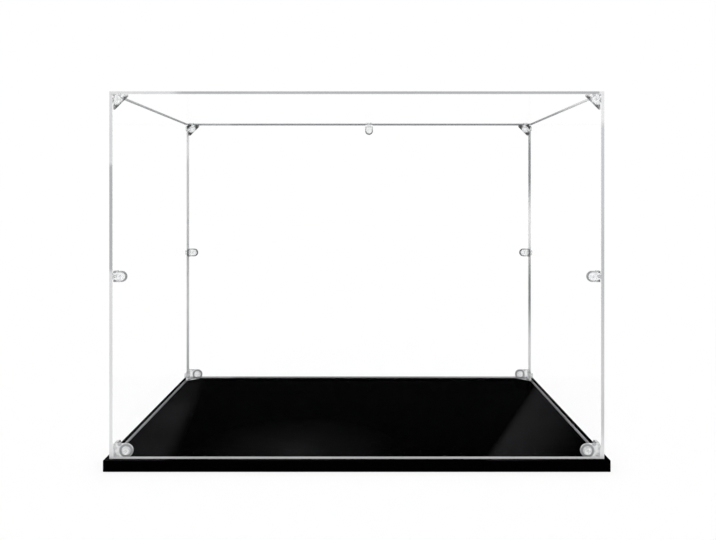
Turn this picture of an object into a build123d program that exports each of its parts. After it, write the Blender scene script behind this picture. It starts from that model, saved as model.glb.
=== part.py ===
from build123d import *

import os

# Clear display case. Five clear sheets make a cover that stands in a groove of a black base and lifts straight off.
# Clear corner brackets, edge clips and countersunk screws hold the sheets together.
# Millimetres. The origin is the middle of the base's underside, +X is right, +Y is to the rear and +Z is up.

# Cover
cover_width = 400.0  # outside, left to right
cover_depth = 300.0  # outside, front to rear
cover_height = 300.0  # from the feet of the walls to the upper face of the top
sheet = 2.5  # thickness of each clear sheet
sheet_edge_break = 0.2  # chamfer along the cover's outer edges
air_film = 0.05  # left between clear pieces that rest on each other

# Base
base_margin = 4.0  # how far the base stands out past the cover, all round
bottom_plate_thickness = 6.5
groove_depth = 3.0  # also the thickness of the floor plate and of the rim strips
groove_clearance = 0.3  # on each side of a wall that stands in the groove
base_edge_break = 0.4

# Screws, with a countersunk head and a cross recess
screw_diameter = 3.0
screw_length = 5.0  # with the head
screw_head_diameter = 5.6
screw_head_rim = 0.25  # straight rim above the head's cone
screw_tip_chamfer = 0.3
screw_head_sink = 0.1  # below the sheet's outer face
recess_length = 2.8
recess_width = 0.7
recess_depth = 1.0
hole_clearance = 0.1  # round a screw in its sheet
thread_clearance = 0.05  # round a screw in its bracket

# Edge clips, one L of two legs with round ends
clip_leg = 11.0  # from the corner to the round end
clip_width = 9.0
clip_thickness = 2.0
clip_fillet = 1.5  # inside the corner
clip_boss_diameter = 5.6
clip_height = 150.0  # from the feet of the walls to the middle of a clip on an upright edge
rear_clip_offset = 12.0  # the rear top clip's place, right of the middle

# Top corner brackets, hollow three-sided corners
top_bracket_leg = 12.2
top_bracket_web = 2.5
top_bracket_tip = 1.5  # flat left at each tip
top_bracket_screw = 4.2  # from each of the two nearest walls to a screw's axis

# Bottom corner brackets, two upright legs and a foot
bottom_bracket_leg = 16.0
bottom_bracket_height = 11.0
bottom_bracket_thickness = 2.0
bottom_bracket_post = 5.0  # leg of the three-sided post in the corner
bottom_bracket_foot = 12.0  # leg of the three-sided foot
bottom_bracket_boss_diameter = 7.0
foot_clearance = 0.3  # from the foot to the floor plate

boss_height = 0.8  # how far a screw boss stands out of its leg
overshoot = 1.0  # how far a cutting tool runs past what it cuts

# Places that follow from the sizes
base_top = bottom_plate_thickness + groove_depth
wall_foot = bottom_plate_thickness
cover_top = wall_foot + cover_height
top_underside = cover_top - sheet
half_width = cover_width / 2
half_depth = cover_depth / 2
inner_x = half_width - sheet
inner_y = half_depth - sheet
base_half_width = half_width + base_margin
base_half_depth = half_depth + base_margin
clip_screw = clip_leg - clip_width / 2
bottom_bracket_screw = bottom_bracket_leg - bottom_bracket_height / 2

# Each corner's place, its turn about +Z, and the walls that the screws along its own X and Y go through
corners = {
    "front_left": (-inner_x, -inner_y, 0, "left", "front"),
    "front_right": (inner_x, -inner_y, 90, "front", "right"),
    "rear_right": (inner_x, inner_y, 180, "right", "rear"),
    "rear_left": (-inner_x, inner_y, 270, "rear", "left"),
}


# Plain helpers


def block(x_span, y_span, z_span):
    """A box between a low and a high end along each axis."""
    spans = (x_span, y_span, z_span)
    size = [high - low for low, high in spans]
    middle = [(high + low) / 2 for low, high in spans]
    return Pos(*middle) * Box(*size)


def both_ways(half):
    return (-half, half)


def turned(profile_points):
    """A solid of revolution about +Z from points given as radius and height."""
    return revolve(Plane.XZ * make_face(Polyline(*profile_points, close=True)), Axis.Z)


def swapped(shape):
    """The same shape with its X and Y exchanged, for the other leg of a bracket."""
    return mirror(shape, about=Plane(origin=(0, 0, 0), z_dir=(1, -1, 0)))


def corner_frame(corner, height):
    x, y, angle, _, _ = corners[corner]
    return Location((x, y, height), (0, 0, angle))


# Screws and the holes that they need, all along +Z from the head's face


def screw():
    head = screw_head_diameter / 2
    shank = screw_diameter / 2
    cone_end = screw_head_rim + head - shank
    outline = [
        (0, 0),
        (head, 0),
        (head, screw_head_rim),
        (shank, cone_end),
        (shank, screw_length - screw_tip_chamfer),
        (shank - screw_tip_chamfer, screw_length),
        (0, screw_length),
    ]
    long_side = both_ways(recess_length / 2)
    short_side = both_ways(recess_width / 2)
    recess_span = (-overshoot, recess_depth)
    cross = block(long_side, short_side, recess_span) + block(short_side, long_side, recess_span)
    return turned(outline) - cross


def sheet_hole():
    """What a screw needs cut out of its sheet: a countersink and a clearance hole."""
    head = screw_head_diameter / 2 + hole_clearance
    shank = screw_diameter / 2 + hole_clearance
    cone_end = screw_head_rim + head - shank
    far_end = sheet + overshoot
    return turned(
        [(0, -overshoot), (head, -overshoot), (head, screw_head_rim), (shank, cone_end), (shank, far_end), (0, far_end)]
    )


def bracket_hole():
    """What a screw needs cut out of its bracket, as deep as the bracket's wall and boss."""
    deep = sheet + max(top_bracket_web, clip_thickness, bottom_bracket_thickness) + boss_height + overshoot
    return Pos(0, 0, deep / 2) * Cylinder(screw_diameter / 2 + thread_clearance, deep)


# Where screws go, in a bracket's own frame: its corner is where the inner faces of the sheets meet


def screw_along_x(y, z):
    return Location(Plane(origin=(screw_head_sink - sheet, y, z), x_dir=(0, 0, 1), z_dir=(1, 0, 0)))


def screw_along_y(x, z):
    return Location(Plane(origin=(x, screw_head_sink - sheet, z), x_dir=(0, 0, 1), z_dir=(0, 1, 0)))


def screw_down(x, y):
    return Location(Plane(origin=(x, y, sheet - screw_head_sink), x_dir=(1, 0, 0), z_dir=(0, 0, -1)))


def drilled(bracket, screws):
    for place in screws:
        bracket -= place * bracket_hole()
    return bracket


# Brackets, each in its own frame


def leg(length, width, thickness, boss_diameter):
    """A leg along X against the sheet that Y points away from, with a round end and a screw boss."""
    round_end = width / 2
    reach = length - round_end
    outline = Pos(reach, 0) * Circle(round_end)
    outline += Pos((reach + air_film) / 2, 0) * Rectangle(reach - air_film, width)
    boss = Pos(reach, 0) * Circle(boss_diameter / 2)
    stood_up = Location((0, air_film, 0), (90, 0, 0))
    return stood_up * (extrude(outline, -thickness) + extrude(boss, -thickness - boss_height))


clip_screws = [screw_along_x(clip_screw, 0), screw_along_y(clip_screw, 0)]


def edge_clip():
    one_leg = leg(clip_leg, clip_width, clip_thickness, clip_boss_diameter)
    clip = one_leg + swapped(one_leg)
    inside = clip_thickness + air_film
    corner_edge = clip.edges().filter_by(Axis.Z).sort_by_distance((inside, inside, 0))[0]
    return drilled(fillet(corner_edge, clip_fillet), clip_screws)


top_bracket_screws = [
    screw_along_x(top_bracket_screw, -top_bracket_screw),
    screw_along_y(top_bracket_screw, -top_bracket_screw),
    screw_down(top_bracket_screw, top_bracket_screw),
]


def top_bracket():
    """A hollow three-sided corner below the top, its tips cut flat."""
    side = (air_film, top_bracket_leg)
    corner = block(side, side, (-top_bracket_leg, -air_film))
    slope = Plane(origin=(top_bracket_leg + top_bracket_tip, 0, 0), z_dir=(1, 1, -1))
    corner = split(corner, bisect_by=slope, keep=Keep.BOTTOM)
    web = air_film + top_bracket_web
    hollow = (web, top_bracket_leg + overshoot)
    corner -= block(hollow, hollow, (-top_bracket_leg - overshoot, -web))
    return drilled(corner, top_bracket_screws)


bottom_bracket_screws = [
    screw_along_x(bottom_bracket_screw, bottom_bracket_height / 2),
    screw_along_y(bottom_bracket_screw, bottom_bracket_height / 2),
]


def three_sided(side, height):
    """A prism that fills a corner of two sheets, from height 0 up."""
    near = air_film
    return extrude(make_face(Polyline((near, near), (side, near), (near, side), close=True)), height)


def bottom_bracket():
    """Two upright legs, a post in their corner and a foot, from height 0 up."""
    one_leg = leg(
        bottom_bracket_leg, bottom_bracket_height, bottom_bracket_thickness, bottom_bracket_boss_diameter
    )
    one_leg = Pos(0, 0, bottom_bracket_height / 2) * one_leg
    post = three_sided(bottom_bracket_post, bottom_bracket_height)
    foot = three_sided(bottom_bracket_foot, bottom_bracket_thickness)
    return drilled(one_leg + swapped(one_leg) + post + foot, bottom_bracket_screws)


# Where each bracket stands: its name, its shape, its frame, its screws and the sheets that they go through


def placed_brackets():
    brackets = []
    for corner, (_, _, _, x_wall, y_wall) in corners.items():
        walls = [x_wall, y_wall]
        top_frame = corner_frame(corner, top_underside)
        clip_frame = corner_frame(corner, wall_foot + clip_height)
        foot_frame = corner_frame(corner, base_top + foot_clearance)
        brackets.append((f"top_bracket_{corner}", top_bracket(), top_frame, top_bracket_screws, [*walls, "top"]))
        brackets.append((f"edge_clip_{corner}", edge_clip(), clip_frame, clip_screws, walls))
        brackets.append((f"bottom_bracket_{corner}", bottom_bracket(), foot_frame, bottom_bracket_screws, walls))
    rear_edge = Plane(origin=(rear_clip_offset, inner_y, top_underside), x_dir=(0, 0, -1), z_dir=(-1, 0, 0))
    brackets.append(("edge_clip_rear_top", edge_clip(), Location(rear_edge), clip_screws, ["top", "rear"]))
    return brackets


# Sheets and base plates


def broken_edges(shape, size):
    return chamfer(shape.edges(), size)


def sheets(screw_places):
    """The five clear sheets, each cut out of one block so that its outer edges match its neighbours'."""
    whole = block(both_ways(half_width), both_ways(half_depth), (wall_foot, cover_top))
    whole = broken_edges(whole, sheet_edge_break)
    full_x = both_ways(half_width)
    full_y = both_ways(half_depth)
    between = both_ways(inner_y - air_film)
    wall = (wall_foot, top_underside - air_film)
    spans = {
        "top": (full_x, full_y, (top_underside, cover_top)),
        "front": (full_x, (-half_depth, -inner_y), wall),
        "rear": (full_x, (inner_y, half_depth), wall),
        "left": ((-half_width, -inner_x), between, wall),
        "right": ((inner_x, half_width), between, wall),
    }
    made = {}
    for side, span in spans.items():
        panel = whole & block(*span)
        for place in screw_places[side]:
            panel -= place * sheet_hole()
        made[f"{side}_panel"] = panel
    return made


def base_plates():
    """The bottom plate, the floor plate inside the groove and the four rim strips outside it."""
    full_x = both_ways(base_half_width)
    full_y = both_ways(base_half_depth)
    whole = broken_edges(block(full_x, full_y, (0, base_top)), base_edge_break)
    upper = (bottom_plate_thickness, base_top)
    groove_x = half_width + groove_clearance
    groove_y = half_depth + groove_clearance
    floor_x = both_ways(inner_x - groove_clearance)
    floor_y = both_ways(inner_y - groove_clearance)
    return {
        "base_bottom_plate": whole & block(full_x, full_y, (0, bottom_plate_thickness)),
        "base_floor_plate": block(floor_x, floor_y, upper),
        "base_rim_front": whole & block(full_x, (-base_half_depth, -groove_y), upper),
        "base_rim_rear": whole & block(full_x, (groove_y, base_half_depth), upper),
        "base_rim_left": whole & block((-base_half_width, -groove_x), both_ways(groove_y), upper),
        "base_rim_right": whole & block((groove_x, base_half_width), both_ways(groove_y), upper),
    }


# The whole case


def whole_case():
    parts = base_plates()
    screw_places = {side: [] for side in ("top", "front", "rear", "left", "right")}
    for name, shape, frame, screws, walls in placed_brackets():
        parts[name] = frame * shape
        for place, side in zip(screws, walls):
            screw_places[side].append(frame * place)
    parts.update(sheets(screw_places))
    for side, places in screw_places.items():
        parts[f"{side}_panel_screws"] = Compound([(place * screw()).solid() for place in places])
    return parts


os.makedirs("parts", exist_ok=True)
for name, shape in whole_case().items():
    export_step(shape, f"parts/{name}.step")
    print(name, len(shape.solids()), round(shape.volume, 1))
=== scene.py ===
# %% [markdown]
# A clear display case: five clear sheets make a cover that stands in a groove of a glossy black base. The
# sizes and places of all its pieces come with the frame, so this lesson is about finishes: how clear
# plastic shows itself only at its cut edges, where it is thick, and where something dark stands behind it.

# %% Load the frame
import math
from functools import reduce

import bpy
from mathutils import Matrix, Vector


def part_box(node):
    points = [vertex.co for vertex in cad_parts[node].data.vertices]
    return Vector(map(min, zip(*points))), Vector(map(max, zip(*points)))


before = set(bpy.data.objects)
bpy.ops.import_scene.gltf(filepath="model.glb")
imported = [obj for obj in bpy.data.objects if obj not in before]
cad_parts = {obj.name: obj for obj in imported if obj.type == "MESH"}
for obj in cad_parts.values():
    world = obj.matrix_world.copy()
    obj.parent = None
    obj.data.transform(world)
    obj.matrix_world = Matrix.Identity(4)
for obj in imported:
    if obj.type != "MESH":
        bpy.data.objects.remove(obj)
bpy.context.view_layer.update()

MM = 0.001
WHITE = (1.0, 1.0, 1.0, 1.0)

# %% [markdown]
# The camera comes first. The photograph has one vanishing point and upright edges that stay upright, so the
# camera is level and looks along +Y. The vanishing point isn't in the middle of the picture, which is what
# a shift is for: it moves the frame and leaves the perspective alone.

# %% Camera
PHOTO_WIDTH_PX = 716
PHOTO_HEIGHT_PX = 540
SENSOR_MM = 36.0
HORIZON_PX = 196.7  # height of the vanishing point in the photograph, from its top
VANISH_PX = 363.0  # and its distance from the photograph's left side
CAMERA_PLACE = Vector((5.0, -827.5, 221.2)) * MM
LENS_MM = 42.17


def make_camera():
    camera = bpy.data.cameras.new("camera")
    camera.sensor_width = SENSOR_MM
    camera.lens = LENS_MM
    camera.shift_x = (PHOTO_WIDTH_PX / 2 - VANISH_PX) / PHOTO_WIDTH_PX
    camera.shift_y = (HORIZON_PX - PHOTO_HEIGHT_PX / 2) / PHOTO_WIDTH_PX
    holder = bpy.data.objects.new("camera", camera)
    holder.location = CAMERA_PLACE
    holder.rotation_euler = (math.radians(90), 0, 0)
    bpy.context.scene.collection.objects.link(holder)
    bpy.context.scene.camera = holder
    return camera


camera = make_camera()
bpy.context.scene.view_settings.view_transform = "Standard"
print(f"camera: lens {camera.lens:.2f} mm, shift {camera.shift_x:.4f}, {camera.shift_y:.4f}")

# %% [markdown]
# Shader maths reads better as a formula than as a list of links, so one small class wraps a socket and
# gives it the usual operators. Any node that isn't plain maths is made by one method.

# %% Shader maths
# A Mix node has several sockets of each name, so its two colours and its result go by number
MIX_FIRST, MIX_SECOND, MIX_COLOUR = 6, 7, 2


class Socket:
    """An output socket with arithmetic on it."""

    def __init__(self, shader, socket):
        self.shader = shader
        self.socket = socket

    def math(self, operation, *others):
        values = dict(enumerate((self, *others)))
        return self.shader.node("ShaderNodeMath", {"operation": operation}, values)

    def __add__(self, other):
        return self.math("ADD", other)

    __radd__ = __add__

    def __mul__(self, other):
        return self.math("MULTIPLY", other)

    __rmul__ = __mul__

    def __sub__(self, other):
        return self.math("SUBTRACT", other)

    def __rsub__(self, other):
        return (self * -1.0) + other

    def abs(self):
        return self.math("ABSOLUTE")

    def least(self, other):
        return self.math("MINIMUM", other)

    def most(self, other):
        return self.math("MAXIMUM", other)

    def root(self):
        return self.math("SQRT")

    def cosine(self):
        return self.math("COSINE")

    def clamp(self):
        return self.least(1.0).most(0.0)

    def step(self, low, high):
        """0 below low, 1 above high, and smooth between them."""
        settings = {"interpolation_type": "SMOOTHSTEP"}
        values = {"Value": self, "From Min": low, "From Max": high}
        return self.shader.node("ShaderNodeMapRange", settings, values)


class Shader:
    """A material's node tree, and a short way to add to it."""

    def __init__(self, name):
        self.material = bpy.data.materials.new(name)
        self.material.use_nodes = True
        self.tree = self.material.node_tree
        self.tree.nodes.clear()

    def node(self, kind, settings=None, values=None, output=0):
        """A new node with its settings, and with values or links on its sockets."""
        made = self.tree.nodes.new(kind)
        for name, value in (settings or {}).items():
            setattr(made, name, value)
        for key, value in (values or {}).items():
            if isinstance(value, Socket):
                self.tree.links.new(value.socket, made.inputs[key])
            else:
                made.inputs[key].default_value = value
        return Socket(self, made.outputs[output]) if made.outputs else None

    def mix(self, factor, first, second):
        """A colour between two others."""
        values = {"Factor": factor, MIX_FIRST: first, MIX_SECOND: second}
        return self.node("ShaderNodeMix", {"data_type": "RGBA"}, values, output=MIX_COLOUR)

    def noise(self, coordinates, scale, detail, roughness=0.5):
        """Even noise about 0.5."""
        values = {"Vector": coordinates, "Scale": scale, "Detail": detail, "Roughness": roughness}
        return self.node("ShaderNodeTexNoise", values=values)

    def place(self):
        """Where a point is on the case, as X, Y and Z in metres."""
        coordinates = self.node("ShaderNodeTexCoord", output="Object")
        split = self.node("ShaderNodeSeparateXYZ", values={0: coordinates})
        return coordinates, [Socket(self, axis) for axis in split.socket.node.outputs]

    def finish(self, surface):
        self.node("ShaderNodeOutputMaterial", values={"Surface": surface})
        return self.material


def dress(node, material):
    """Gives a node its material in place of the plain one that it came with."""
    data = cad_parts[node].data
    data.materials.clear()
    data.materials.append(material)


print("shader helpers:", Socket.__name__, "and", Shader.__name__)

# %% [markdown]
# Clear sheet. A polished acrylic sheet is invisible face on, and what the eye reads is its edge. The cut is
# satin, and through the thickness of the sheet beside it that pale line looks as wide as the sheet is
# thick. The cut could be given a second material on faces of its own, but the line beside it is only a look
# and has no faces, so it is a painted highlight: the lit cut as seen through the sheet. So one material
# holds both finishes, mixed by how far a point is from each side of its sheet.

# %% Where the pale lines are
X, Y, Z = range(3)
SHEET = 2.5 * MM
CUT = 0.22 * MM  # the satin finish reaches just round the edge's small chamfer
CUT_BORDERS = SHEET * 0.2, SHEET * 0.5  # from a cut's middle to where its weaker borders start and end
CUT_BORDER_LOSS = 0.45
WALL_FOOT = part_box("front_panel")[0].z
BASE_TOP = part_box("base_floor_plate")[1].z
IN_GROOVE = BASE_TOP - WALL_FOOT
FRONT_FOOT = IN_GROOVE + 1.8 * MM  # the painted pale foot line of the front wall shows this far above the base
REAR_FOOT = IN_GROOVE + 2.8 * MM
REAR_FOOT_FADE = BASE_TOP + 0.4 * MM, BASE_TOP + 2.0 * MM  # the rear one is clear below the first height
FRONT_UPRIGHT = 3.0 * MM
REAR_UPRIGHT = 3.2 * MM
UPRIGHT_SOFT = 0.8 * MM
FOOT_WIDENING = 1.2 * MM  # of the front wall's painted upright lines, at their feet
WIDENING_ENDS = BASE_TOP + 6 * MM, BASE_TOP + 14 * MM

# For each sheet: the axis that it is thin along, the axes whose two ends show a cut, and the width of the
# painted pale line that its nearer face shows beside its upright sides and at its foot
LINES = {
    "top": (Z, (X, Y), 0.0, 0.0),
    "front": (Y, (X,), FRONT_UPRIGHT, FRONT_FOOT),
    "rear": (Y, (X,), REAR_UPRIGHT, REAR_FOOT),
    "left": (X, (), 0.0, IN_GROOVE),
    "right": (X, (), 0.0, IN_GROOVE),
}


def within(distance, width, soft=0.1 * MM):
    """1 up to a width and 0 past it."""
    return 1 - distance.step(width - soft, width)


def cut_and_painted_line_mask(side, place):
    """1 where the sheet's satin cut shows and where its painted pale lines lie, and weaker at both borders
    of the cut, where the chamfers are.
    """
    thin, cut_axes, upright_line, foot_line = LINES[side]
    low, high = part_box(f"{side}_panel")
    depth = place[thin] - low[thin]
    fade = 1 - (depth - SHEET / 2).abs().step(*CUT_BORDERS) * CUT_BORDER_LOSS
    on_near_face = within(depth, SHEET / 2)
    masks = []
    for axis in cut_axes:
        edge_distance = (place[axis] - low[axis]).least(high[axis] - place[axis])
        masks.append(within(edge_distance, CUT) * fade)
        if upright_line:
            if side == "front":
                near_foot = 1 - place[Z].step(*WIDENING_ENDS)
                edge_distance = edge_distance - near_foot * FOOT_WIDENING
            masks.append(within(edge_distance, upright_line, soft=UPRIGHT_SOFT) * on_near_face)
    if foot_line:
        foot = within(place[Z] - low[Z], foot_line)
        if side == "rear":
            foot = foot * place[Z].step(*REAR_FOOT_FADE)
        masks.append(foot * on_near_face if upright_line else foot)
    return reduce(Socket.most, masks)


print("pale lines: foot", round(FRONT_FOOT / MM, 2), "mm, upright", round(FRONT_UPRIGHT / MM, 2), "mm")

# %% [markdown]
# Tone of the cuts. In the photograph the lines aren't one grey: they are pale by the left front corner,
# darker along the top and at the rear, and some stretches stand out. Lamps could do that, but each would
# light the whole case. So the light and shade are painted: one number from 0 to 1 says how shaded the cut
# is at a place, made of a few smooth steps and some noise, and the material mixes a lit and a shaded grey by
# it.

# %% How dark a cut is
DARK_EVERYWHERE = 0.27
PAINTED_SHADE_TOP = 0.78  # painted shade, more along the top
PAINTED_SHADE_REAR = 0.5  # and painted shade growing towards the rear
PALE_END = 45 * MM, 65 * MM  # the top's painted pale left end fades out between these distances
PALE_CORNER = 10 * MM, 70 * MM  # and its painted pale corners, along its two sides, between these
FOOT_RISE = BASE_TOP, BASE_TOP + 30 * MM  # between these heights the painted paler feet of the lines fade out
FOOT_PALER = 0.8
PALE_RIM = 4 * MM  # width of the painted paler strip along the right end of the top
SHADED_MIDDLE = 204 * MM  # the front left upright line has painted shade for a stretch about this height
SHADED_HALF = 46 * MM
SHADED_SOFT = 8 * MM
PALE_TOP = 276 * MM, 284 * MM  # the front right upright line has painted light above these heights
FRONT_RIGHT_PALER = 0.4
FRONT_RIGHT_TOP_PALER = 0.6
WAVE_LENGTH = 146 * MM  # from one stretch of painted shade on the rear right upright line to the next
WAVE_TOP = 258 * MM
WAVE_DARK = 0.6
REAR_RIGHT_PALER = 0.9
REAR_PALE_TOP = 252 * MM, 276 * MM  # the rear left upright line has painted light above these heights
REAR_LEFT_PALER = 0.2
REAR_LEFT_TOP_PALER = 0.5
SLOW_SCALE = 9.0
SLOW_UNEVEN = 0.8
SAW_SCALE = 900.0
SAW_UNEVEN = 0.4


def unevenness(shader, coordinates):
    """Slow changes of tone along a line, which paint an uneven reflection, and the fine lines that the saw
    leaves, both about 0.
    """
    slow = shader.noise(coordinates, SLOW_SCALE, detail=1.0)
    saw_lines = shader.noise(coordinates, SAW_SCALE, detail=2.0, roughness=0.6)
    return (slow - 0.5) * SLOW_UNEVEN + (saw_lines - 0.5) * SAW_UNEVEN


def painted_shade_and_saw_marks(shader, side, coordinates, place):
    """0 where a cut has painted light and 1 where it has painted shade, with the saw's marks added."""
    outer_x, outer_y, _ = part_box("top_panel")[1]
    rear = place[Y].step(-outer_y, outer_y)
    right = place[X].step(0.0, outer_x)
    along_top = (place[X] + outer_x).step(*PALE_END)
    along_side = (outer_y - place[Y].abs()).step(*PALE_CORNER)
    raised = 1.0 if side == "rear" else place[Z].step(*FOOT_RISE) * FOOT_PALER + (1 - FOOT_PALER)
    # painted shade along the top and towards the rear, with less of it near the base
    dark = (along_top.most(along_side) * PAINTED_SHADE_TOP + rear * PAINTED_SHADE_REAR) * raised
    dark = dark + unevenness(shader, coordinates) + DARK_EVERYWHERE
    if side == "top":
        dark = dark - within(outer_x - place[X], PALE_RIM) * (1 - rear)
    if side == "front":
        shaded = within((place[Z] - SHADED_MIDDLE).abs(), SHADED_HALF, soft=SHADED_SOFT)
        dark = dark + shaded * place[X].step(0.0, -outer_x)
        dark = dark - right * (place[Z].step(*PALE_TOP) * FRONT_RIGHT_TOP_PALER + FRONT_RIGHT_PALER)
    if side == "rear":
        wave = ((place[Z] - WAVE_TOP) * (2 * math.pi / WAVE_LENGTH)).cosine()
        dark = dark + (wave * WAVE_DARK - REAR_RIGHT_PALER) * right
        dark = dark - (1 - right) * (place[Z].step(*REAR_PALE_TOP) * REAR_LEFT_TOP_PALER + REAR_LEFT_PALER)
    return dark.clamp()


print("dark stretch of the front left line:", round(2 * SHADED_HALF / MM), "mm")

# %% [markdown]
# Face and cut. A face is made of a Transparent shader with a little gloss on top: nothing bends in a sheet
# this thin, and light from outside still reaches what stands in the case. A glass shader would suit a thick
# block, but in a thin sheet it only costs light. The cut is a plain rough surface whose grey carries the
# painted light and shade, and the mask of the pale lines mixes the two.

# %% Clear faces and satin cuts
ACRYLIC_IOR = 1.49
FACE_GLOSS = 0.01  # share of the plain reflection that the photograph leaves
FACE_ROUGHNESS = 0.02
CUT_ROUGHNESS = 0.55
# The cut's satin grey where it is lit, then painted shaded copies of it, the last for the rear
CUT_LIT_GREY = (0.82, 0.82, 0.83, 1.0)
CUT_SHADED_GREY = (0.42, 0.43, 0.44, 1.0)
CUT_REAR_SHADED_GREY = (0.25, 0.26, 0.27, 1.0)


def clear_face(shader):
    """See-through plastic with the reflection that its faces keep."""
    seen_through = shader.node("ShaderNodeBsdfTransparent", values={"Color": WHITE})
    gloss = shader.node("ShaderNodeBsdfGlossy", values={"Color": WHITE, "Roughness": FACE_ROUGHNESS})
    mirrored = shader.node("ShaderNodeFresnel", values={"IOR": ACRYLIC_IOR}) * FACE_GLOSS
    return shader.node("ShaderNodeMixShader", values={0: mirrored, 1: seen_through, 2: gloss})


def satin_cut(shader, side, coordinates, place):
    """The saw's satin finish, with painted shade that grows towards the rear."""
    rear = place[Y].step(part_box("front_panel")[0].y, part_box("rear_panel")[1].y)
    shaded_tone = shader.mix(rear, CUT_SHADED_GREY, CUT_REAR_SHADED_GREY)
    tone = shader.mix(painted_shade_and_saw_marks(shader, side, coordinates, place), CUT_LIT_GREY, shaded_tone)
    values = {"Base Color": tone, "Roughness": CUT_ROUGHNESS, "IOR": ACRYLIC_IOR}
    return shader.node("ShaderNodeBsdfPrincipled", values=values)


def sheet_material(side):
    """Clear faces and satin lines along the sides of one sheet."""
    shader = Shader(f"{side}_panel_clear")
    coordinates, place = shader.place()
    cut = satin_cut(shader, side, coordinates, place)
    values = {0: cut_and_painted_line_mask(side, place), 1: clear_face(shader), 2: cut}
    return shader.finish(shader.node("ShaderNodeMixShader", values=values))


for side in LINES:
    dress(f"{side}_panel", sheet_material(side))
print("clear sheets:", len(LINES))

# %% [markdown]
# Clear mouldings. The brackets and clips are small, thick and rounded, and against white only their grey
# parts show, which are painted shade. A clip shows a grey line all round its outline. It could be modelled
# as a bead, but the real one is only light that bends away there, so it is painted shade, by a mask. The
# mask comes from the clip's own shape, a leg with a round end: how far a point is inside that outline. Both
# legs of an L have one formula, as the greater of the two distances from the corner runs along whichever
# leg the point is on, and the four corners of the case have one formula through absolute values.

# %% Outline of a clip
RIM_WIDTH = 1.9 * MM  # from the outline inwards, fading over the inner half
RIM_RISE = 0.1, 0.9  # shares of a leg's length between which its outline gets stronger
RIM_AT_CORNER = 0.65  # how strong it is before that, where 1 is the round end
LEG_CHANGE = 1.0 * MM  # how softly the outline ends where the rear clip's two legs meet
INNER_X = abs(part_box("left_panel")[1].x)
INNER_Y = abs(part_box("front_panel")[1].y)
UNDER_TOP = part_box("top_panel")[0].z


def distance_to(along, across):
    return (along * along + across * across).root()


def leg_painted_shade(along, across, length, width):
    """Painted shade: 1 at the outline of a leg with a round end and 0 inside it, and stronger towards the
    round end.
    """
    past = (along - (length - width / 2)).most(0.0)
    inside = width / 2 - distance_to(past, across)
    outline = 1 - inside.step(RIM_WIDTH / 2, RIM_WIDTH)
    rise = along.step(*(length * share for share in RIM_RISE))
    return outline * (rise * (1 - RIM_AT_CORNER) + RIM_AT_CORNER)


def from_corner(place):
    """Distances from the nearest upright corner of the case's inside, along X and along Y."""
    return INNER_X - place[X].abs(), INNER_Y - place[Y].abs()


def clip_painted_shade(place):
    """The painted shade along the outline of the clips on the upright edges, whose size comes from one
    clip's box.
    """
    low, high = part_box("edge_clip_front_left")
    along_x, along_y = from_corner(place)
    across = place[Z] - (low.z + high.z) / 2
    return leg_painted_shade(along_x.most(along_y), across, high.x - low.x, high.z - low.z)


def rear_clip_painted_shade(place):
    """The same painted shade on the rear top edge, on the leg that hangs down."""
    low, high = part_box("edge_clip_rear_top")
    down = UNDER_TOP - place[Z]
    forwards = INNER_Y - place[Y]
    hanging = (down - forwards).step(0.0, LEG_CHANGE)
    return leg_painted_shade(down, place[X] - (low.x + high.x) / 2, high.z - low.z, high.x - low.x) * hanging


print("inside of the case:", round(2 * INNER_X / MM), "by", round(2 * INNER_Y / MM), "mm")

# %% [markdown]
# Painted shade on the brackets. A bottom bracket shows a grey ring round its screw, where its round end
# curves away, and a small dark spot on its upper edge by the post. A top bracket is a hollow corner, and its
# three thin tips look nearly black. All of these are painted shade on clear plastic, and all are distances
# again, to a circle, to a point and to the corner, so no mesh is painted by hand.

# %% Ring, spot and tips
RING_INSET = 0.9 * MM
RING_HALF_WIDTH = 1.2 * MM
RING_SOFT = 0.6 * MM
SPOT = 5.0 * MM  # from the corner to the dark spot on a bottom bracket's upper edge
SPOT_REACH = 2.4 * MM
SPOT_SOFT = 1.2 * MM
SPOT_STRENGTH = 0.8
TIP_RISE = 0.5, 0.75  # shares of a top bracket's leg between which the painted shade on its tip darkens
TIP_CLEAR = 0.3 * MM, 2.0 * MM  # and between these distances from the edge that its leg runs along


def bottom_bracket_painted_shade(place):
    """Painted shade: a ring round the screw, just inside the round end, and a spot on the upper edge."""
    low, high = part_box("bottom_bracket_front_left")
    round_end = (high.z - low.z) / 2
    along = reduce(Socket.most, from_corner(place))
    across = place[Z] - (low.z + high.z) / 2
    from_screw = distance_to(along - (high.x - low.x - round_end), across)
    ring = within((from_screw - (round_end - RING_INSET)).abs(), RING_HALF_WIDTH, soft=RING_SOFT)
    spot = within(distance_to(along - SPOT, across - round_end), SPOT_REACH, soft=SPOT_SOFT)
    return ring.most(spot * SPOT_STRENGTH)


def top_bracket_tip_painted_shade(place):
    """Painted shade at the tips of a three-sided corner, furthest from its middle and a little clear of the
    sheets' edges.
    """
    along_x, along_y = from_corner(place)
    down = UNDER_TOP - place[Z]
    low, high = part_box("top_bracket_front_left")
    leg = high.x - low.x
    furthest = along_x.most(along_y).most(down)
    second = along_x.least(along_y).most(along_x.most(along_y).least(down))
    return furthest.step(*(leg * share for share in TIP_RISE)) * second.step(*TIP_CLEAR)


print("ring round a bottom bracket's screw:", round(2 * RING_HALF_WIDTH / MM, 1), "mm wide")

# %% [markdown]
# Moulded plastic is never as clean as sheet, and it is thick enough to bend light. So it is glass with a
# share of milky satin on its outside, and where a piece's mask of painted shade says so the satin is full
# and grey. Satin on the inside of the glass too would trap light and darken it, so the back of a face stays
# clear. The flow marks of the mould are far too fine to model, and a bump makes them.

# %% Moulded plastic
MOULDING_IOR = 1.5
GLASS_ROUGHNESS = 0.03
SATIN_ROUGHNESS = 0.3
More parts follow.
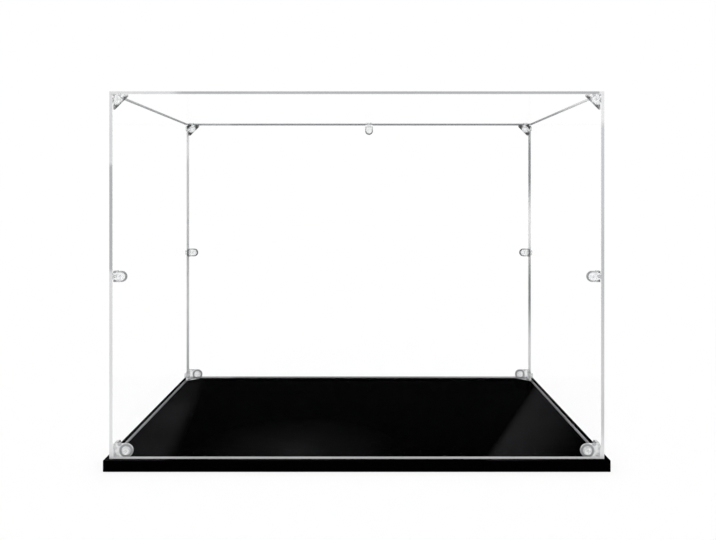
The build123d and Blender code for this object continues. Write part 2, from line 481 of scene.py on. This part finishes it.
# Painted shade greys of a moulding's outline, at the front and darker at the rear
RIM_SHADE_FRONT = (0.28, 0.29, 0.30, 1.0)
RIM_SHADE_REAR = (0.14, 0.145, 0.15, 1.0)
BODY_TINT = (0.97, 0.975, 0.98, 1.0)
MOTTLED_TINT = (0.72, 0.73, 0.74, 1.0)
MOTTLE_SCALE = 420.0
MOTTLE_PEAKS = 0.45, 0.75
RIPPLE_SCALE = 700.0  # flow marks of the moulding
RIPPLE_DEPTH = 0.1 * MM
RIPPLE_STRENGTH = 0.15


def moulding_material(name, milk, rear_painted_clearing=0.0, painted_shade_of=None, front_shade_grey=RIM_SHADE_FRONT, rear_shade_grey=RIM_SHADE_REAR):
    """Clear glass and milky satin, less milky at the rear as painted light, with a grey outline of painted
    shade where one is given.
    """
    shader = Shader(name)
    coordinates, place = shader.place()
    rear = place[Y].step(-INNER_Y, INNER_Y)
    mottle = shader.noise(coordinates, MOTTLE_SCALE, detail=2.0)
    colour = shader.mix(mottle.step(*MOTTLE_PEAKS), BODY_TINT, MOTTLED_TINT)
    share = milk - rear * rear_painted_clearing
    if painted_shade_of:
        # the grey outline is painted shade, darker at the rear
        painted_rim_shade = painted_shade_of(place)
        colour = shader.mix(painted_rim_shade, colour, shader.mix(rear, front_shade_grey, rear_shade_grey))
        share = painted_rim_shade.most(share)
    outside = 1 - shader.node("ShaderNodeNewGeometry", output="Backfacing")
    ripple = shader.noise(coordinates, RIPPLE_SCALE, detail=1.0)
    relief = {"Strength": RIPPLE_STRENGTH, "Distance": RIPPLE_DEPTH, "Height": ripple}
    shared = {"IOR": MOULDING_IOR, "Normal": shader.node("ShaderNodeBump", values=relief)}
    clear = {"Base Color": BODY_TINT, "Roughness": GLASS_ROUGHNESS, "Transmission Weight": 1.0}
    milky = {"Base Color": colour, "Roughness": SATIN_ROUGHNESS}
    glass = shader.node("ShaderNodeBsdfPrincipled", values={**shared, **clear})
    satin = shader.node("ShaderNodeBsdfPrincipled", values={**shared, **milky})
    surface = shader.node("ShaderNodeMixShader", values={0: share * outside, 1: glass, 2: satin})
    return shader.finish(surface)


print("moulded plastic: IOR", MOULDING_IOR)

# %% [markdown]
# Five kinds of plastic come from that one function. Clips and top brackets are the clearest, and bottom
# brackets and screws look milky in the photograph, more so at the front; that change from front to rear is
# painted light, as the pieces are one plastic. Each material is made once and shared by all the pieces of
# its kind, which are known by their names.

# %% Dress the mouldings and screws
CLIP_MILK = 0.25
BOTTOM_MILK = 0.75
SCREW_MILK = 0.7
# the rear pieces get less milky satin: painted light, stronger at the front
REAR_PAINTED_CLEARING = 0.45
# Painted shade greys: the ring round a bottom bracket's screw, and a top bracket's tips, darker at the rear
RING_SHADE_GREY = (0.30, 0.31, 0.32, 1.0)
TIP_SHADE_FRONT = (0.12, 0.12, 0.125, 1.0)
TIP_SHADE_REAR = (0.03, 0.03, 0.032, 1.0)

clip = moulding_material("clip_plastic", CLIP_MILK, painted_shade_of=clip_painted_shade)
rear_clip = moulding_material("rear_clip_plastic", CLIP_MILK, painted_shade_of=rear_clip_painted_shade)
bottom_bracket = moulding_material(
    "bottom_bracket_plastic",
    BOTTOM_MILK,
    REAR_PAINTED_CLEARING,
    painted_shade_of=bottom_bracket_painted_shade,
    front_shade_grey=RING_SHADE_GREY,
    rear_shade_grey=RING_SHADE_GREY,
)
top_bracket = moulding_material(
    "top_bracket_plastic", CLIP_MILK, painted_shade_of=top_bracket_tip_painted_shade, front_shade_grey=TIP_SHADE_FRONT, rear_shade_grey=TIP_SHADE_REAR
)
screw_plastic = moulding_material("screw_plastic", SCREW_MILK, REAR_PAINTED_CLEARING)
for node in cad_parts:
    if node == "edge_clip_rear_top":
        dress(node, rear_clip)
    elif node.startswith("edge_clip"):
        dress(node, clip)
    elif node.startswith("bottom_bracket"):
        dress(node, bottom_bracket)
    elif node.startswith("top_bracket"):
        dress(node, top_bracket)
    elif node.endswith("screws"):
        dress(node, screw_plastic)
print("clear mouldings:", sum("bracket" in node or "clip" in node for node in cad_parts))

# %% [markdown]
# Black base. Polished black acrylic mirrors what is round it, but in the photograph it hardly does. What
# shows instead are three soft pale patches on the floor plate: beside the left wall, across the right half
# and near the front. Lamps and cards outside the case made them, and could here, but they would light its
# clear pieces as well. So each patch is a smooth mask of the point's place, and stays where it is at every
# pose.

# %% Pale patches on the floor plate
# The right patch starts at the first line, given from rear to front, and the left patch ends at the second
# line, given from front to rear
RIGHT_LINE = Vector((188.0, 91.0)) * MM, Vector((108.0, -132.0)) * MM
LEFT_LINE = Vector((-155.0, -132.0)) * MM, Vector((-178.0, 115.0)) * MM
PATCH_FADE = 75 * MM
PATCH_BORDER = 9 * MM
LEFT_STRENGTH = 0.75
LEFT_FADE = 150 * MM  # the left patch fades towards the rear, up to this far past the middle
LEFT_LOSS = 0.6
FRONT_PATCH = Vector((-50.0, -128.0)) * MM
FRONT_PATCH_REACH = 95 * MM
FRONT_PATCH_SQUASH = 0.8  # it is longer from front to rear than it is wide
FRONT_STRENGTH = 0.45
FRONT_CORE = 0.3  # the share of its reach that is brighter
FRONT_CORE_STRENGTH = 0.4


def past_line(place, start, end):
    """How far a point is to the right of a line on the floor plate, seen from its start."""
    along = (end - start).normalized()
    return (place[X] - start.x) * along.y - (place[Y] - start.y) * along.x


def painted_floor_reflection(place):
    """How strong the painted reflection of the soft patches is, from 0 to 1."""
    past_right = past_line(place, *RIGHT_LINE) * -1.0
    right = past_right.step(0.0, PATCH_BORDER) * (1 - past_right.step(PATCH_BORDER, PATCH_FADE))
    past_left = past_line(place, *LEFT_LINE)
    left = 1 - past_left.step(-PATCH_BORDER, PATCH_BORDER)
    left = left * (1 - place[Y].step(0.0, LEFT_FADE) * LEFT_LOSS)
    reach = distance_to(place[X] - FRONT_PATCH.x, (place[Y] - FRONT_PATCH.y) * FRONT_PATCH_SQUASH)
    wide = (1 - reach.step(0.0, FRONT_PATCH_REACH)) * FRONT_STRENGTH
    core = (1 - reach.step(0.0, FRONT_PATCH_REACH * FRONT_CORE)) * FRONT_CORE_STRENGTH
    return right.most(left * LEFT_STRENGTH).most(wide + core)


print("front patch:", round(2 * FRONT_PATCH_REACH / MM), "mm wide")

# %% [markdown]
# The base's plates are all of one glossy black, so one material dresses them, with its gloss kept very low.
# The patches are a slightly paler black, uneven as a reflection of a real room is. A few specks of dust, as
# any glossy black floor has, come from a fine noise of which only the highest peaks are kept.

# %% Black base
BASE_BLACK = (0.0003, 0.0003, 0.0004, 1.0)
# The patches' paler black is a painted reflection of the room
BASE_PAINTED_REFLECTION = (0.013, 0.013, 0.014, 1.0)
BASE_ROUGHNESS = 0.12
BASE_SPECULAR = 0.00003  # the photograph shows next to no reflection, even at a low angle
CLOUD_SCALE = 14.0
CLOUD_LEAST = 0.4
DUST = (0.02, 0.02, 0.021, 1.0)
DUST_SCALE = 3600.0
DUST_PEAKS = 0.80, 0.84
UPPER_FACE = BASE_TOP - 0.5 * MM, BASE_TOP - 0.1 * MM  # the patches start between these heights


def base_material():
    shader = Shader("black_base")
    coordinates, place = shader.place()
    clouds = shader.noise(coordinates, CLOUD_SCALE, detail=2.0)
    # the painted reflection shows only on the upper face, made uneven by the clouds
    painted_reflection = painted_floor_reflection(place) * place[Z].step(*UPPER_FACE) * (clouds + CLOUD_LEAST)
    specks = shader.noise(coordinates, DUST_SCALE, detail=0.0)
    tone = shader.mix(specks.step(*DUST_PEAKS), shader.mix(painted_reflection.clamp(), BASE_BLACK, BASE_PAINTED_REFLECTION), DUST)
    surface = shader.node(
        "ShaderNodeBsdfPrincipled",
        values={
            "Base Color": tone,
            "Roughness": BASE_ROUGHNESS,
            "IOR": ACRYLIC_IOR,
            "Specular IOR Level": BASE_SPECULAR,
        },
    )
    return shader.finish(surface)


black = base_material()
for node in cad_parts:
    if node.startswith("base_"):
        dress(node, black)
print("black base plates:", sum(node.startswith("base_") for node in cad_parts))

# %% [markdown]
# Stage. The photograph's background is plain white. The world's strength of 1 is that white, for the camera
# and for what clear and glossy surfaces show, and it lights the case evenly from all sides, so no lamp is
# needed. The floor is a pale plane: most of its brightness is its own light, and the rest takes the soft
# shadow under the base.

# %% World and floor
FLOOR_SIZE = 12.0
FLOOR_OWN_LIGHT = 0.8


def grey(level):
    return (level, level, level, 1.0)


def make_world():
    world = bpy.data.worlds.new("studio")
    world.use_nodes = True
    background = world.node_tree.nodes["Background"]
    background.inputs["Color"].default_value = WHITE
    background.inputs["Strength"].default_value = 1.0
    bpy.context.scene.world = world


def make_floor():
    shader = Shader("pale_floor")
    matt = shader.node("ShaderNodeBsdfDiffuse", values={"Color": grey(1.0 - FLOOR_OWN_LIGHT)})
    own = shader.node("ShaderNodeEmission", values={"Color": grey(FLOOR_OWN_LIGHT), "Strength": 1.0})
    material = shader.finish(shader.node("ShaderNodeAddShader", values={0: matt, 1: own}))
    bpy.ops.mesh.primitive_plane_add(size=FLOOR_SIZE, location=(0, 0, 0))
    floor = bpy.context.object
    floor.name = "floor"
    floor.data.materials.append(material)


make_world()
make_floor()
print("floor:", FLOOR_SIZE, "m across")
